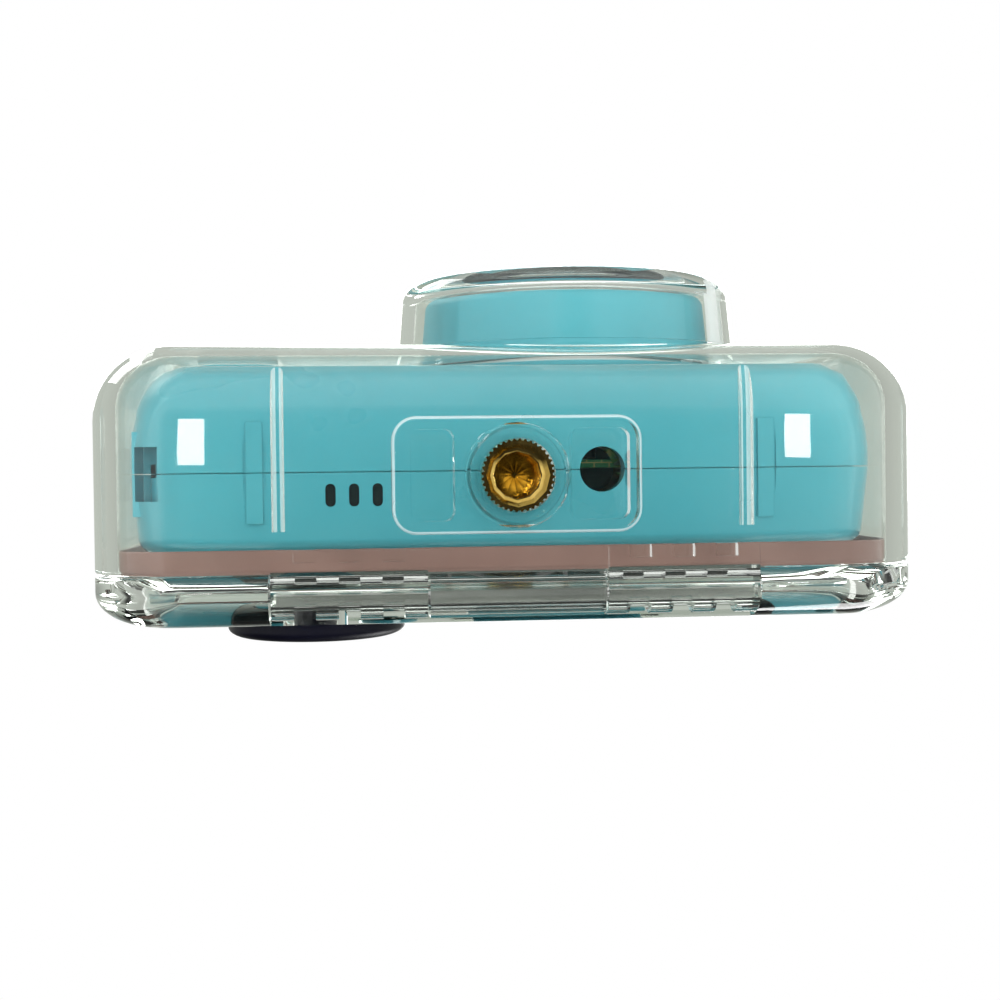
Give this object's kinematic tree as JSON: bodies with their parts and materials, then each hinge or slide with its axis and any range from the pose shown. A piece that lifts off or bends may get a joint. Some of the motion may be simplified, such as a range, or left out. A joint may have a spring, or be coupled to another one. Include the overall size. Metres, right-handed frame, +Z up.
{
  "type": "compact camera in waterproof housing",
  "caption": "Compact digital camera in a clear hinged waterproof housing with lens port, push plungers, latch, pad cover and brass tripod insert.",
  "frame": {"origin": "under the middle of the whole object, on the surface it stands on", "axes": "+Z up, lens faces -Y, door and display face +Y, +X right seen from the front"},
  "size_m": [0.0988, 0.0472, 0.075],
  "materials": {
    "clear_plastic": "clear, polished",
    "cyan_plastic": "semi-gloss",
    "black_plastic": "fine texture",
    "black_rubber": "satin",
    "seal_rubber": "translucent silicone",
    "steel": "polished",
    "brass": "polished, knurled",
    "glass": "polished",
    "board_green": "circuit board",
    "battery_wrap": "wrapped cell",
    "white_plastic": "diffusing"
  },
  "bodies": {
    "housing": {"housing_front": "clear_plastic", "camera_front_cover": "cyan_plastic", "camera_rear_cover": "cyan_plastic", "lens_barrel": "cyan_plastic", "front_grip": "cyan_plastic", "lens_face": "black_plastic", "lens_holder": "black_plastic", "image_sensor": "black_plastic", "shutter_switch": "black_plastic", "power_switch": "black_plastic", "memory_card": "black_plastic", "speaker": "black_plastic", "rear_panel": "black_plastic", "shutter_plunger_seal": "black_rubber", "power_plunger_seal": "black_rubber", "hinge_pin": "steel", "latch_pin": "steel", "case_screw_1": "steel", "case_screw_2": "steel", "case_screw_3": "steel", "case_screw_4": "steel", "card_slot": "steel", "usb_port": "steel", "microphone": "steel", "tripod_insert": "brass", "camera_tripod_nut": "brass", "port_window": "glass", "lens_window": "glass", "lens_element_front": "glass", "lens_element_rear": "glass", "display_module": "glass", "main_board": "board_green", "key_board": "board_green", "battery": "battery_wrap", "flash_window": "white_plastic", "flash_led": "white_plastic"},
    "door": {"housing_door": "clear_plastic", "door_seal": "seal_rubber"},
    "latch": {"latch_clip": "cyan_plastic"},
    "shutter_plunger_body": {"shutter_plunger": "cyan_plastic", "shutter_plunger_clip": "steel", "shutter_plunger_spring": "steel"},
    "power_plunger_body": {"power_plunger": "cyan_plastic", "power_plunger_clip": "steel", "power_plunger_spring": "steel"},
    "shutter_button_body": {"shutter_button": "cyan_plastic"},
    "power_button_body": {"power_button": "cyan_plastic"},
    "pad_cover_body": {"pad_cover": "black_rubber", "pad_cover_clip": "steel"},
    "ok_key_body": {"ok_key": "cyan_plastic"},
    "key_up_body": {"key_up": "cyan_plastic"},
    "key_left_body": {"key_left": "cyan_plastic"},
    "key_down_body": {"key_down": "cyan_plastic"},
    "key_right_body": {"key_right": "cyan_plastic"}
  },
  "joints": [
    {"name": "door_hinge", "type": "hinge", "parent": "housing", "child": "door", "pos_m": [0, 0.0163, 0.003], "axis": [-1, 0, 0], "range_deg": [0, 110]},
    {"name": "latch_hinge", "type": "hinge", "parent": "housing", "child": "latch", "pos_m": [0.012, 0.0035, 0.0724], "axis": [1, 0, 0], "range_deg": [0, 100]},
    {"name": "shutter_plunger_slide", "type": "slide", "parent": "housing", "child": "shutter_plunger_body", "axis": [0, 0, -1], "range_m": [0, 0.001], "stiffness_N_per_m": 600, "springref_m": -0.002, "deforming": ["shutter_plunger_spring"]},
    {"name": "shutter_button_slide", "type": "slide", "parent": "housing", "child": "shutter_button_body", "axis": [0, 0, -1], "range_m": [0, 0.001], "stiffness_N_per_m": 300, "springref_m": -0.002},
    {"name": "power_plunger_slide", "type": "slide", "parent": "housing", "child": "power_plunger_body", "axis": [0, 0, -1], "range_m": [0, 0.001], "stiffness_N_per_m": 600, "springref_m": -0.002, "deforming": ["power_plunger_spring"]},
    {"name": "power_button_slide", "type": "slide", "parent": "housing", "child": "power_button_body", "axis": [0, 0, -1], "range_m": [0, 0.001], "stiffness_N_per_m": 300, "springref_m": -0.002},
    {"name": "pad_cover_slide", "type": "slide", "parent": "door", "child": "pad_cover_body", "axis": [0, -1, 0], "range_m": [0, 0.0006], "stiffness_N_per_m": 1200, "springref_m": -0.0005},
    {"name": "ok_key_slide", "type": "slide", "parent": "housing", "child": "ok_key_body", "axis": [0, -1, 0], "range_m": [0, 0.0005], "stiffness_N_per_m": 600, "springref_m": -0.0005},
    {"name": "key_up_slide", "type": "slide", "parent": "housing", "child": "key_up_body", "axis": [0, -1, 0], "range_m": [0, 0.0005], "stiffness_N_per_m": 600, "springref_m": -0.0005},
    {"name": "key_left_slide", "type": "slide", "parent": "housing", "child": "key_left_body", "axis": [0, -1, 0], "range_m": [0, 0.0005], "stiffness_N_per_m": 600, "springref_m": -0.0005},
    {"name": "key_down_slide", "type": "slide", "parent": "housing", "child": "key_down_body", "axis": [0, -1, 0], "range_m": [0, 0.0005], "stiffness_N_per_m": 600, "springref_m": -0.0005},
    {"name": "key_right_slide", "type": "slide", "parent": "housing", "child": "key_right_body", "axis": [0, -1, 0], "range_m": [0, 0.0005], "stiffness_N_per_m": 600, "springref_m": -0.0005}
  ],
  "couplings": [
    {"joint": "shutter_button_slide", "follows": "shutter_plunger_slide", "ratio": 1},
    {"joint": "power_button_slide", "follows": "power_plunger_slide", "ratio": 1},
    {"joint": "ok_key_slide", "follows": "pad_cover_slide", "ratio": 0.8}
  ]
}
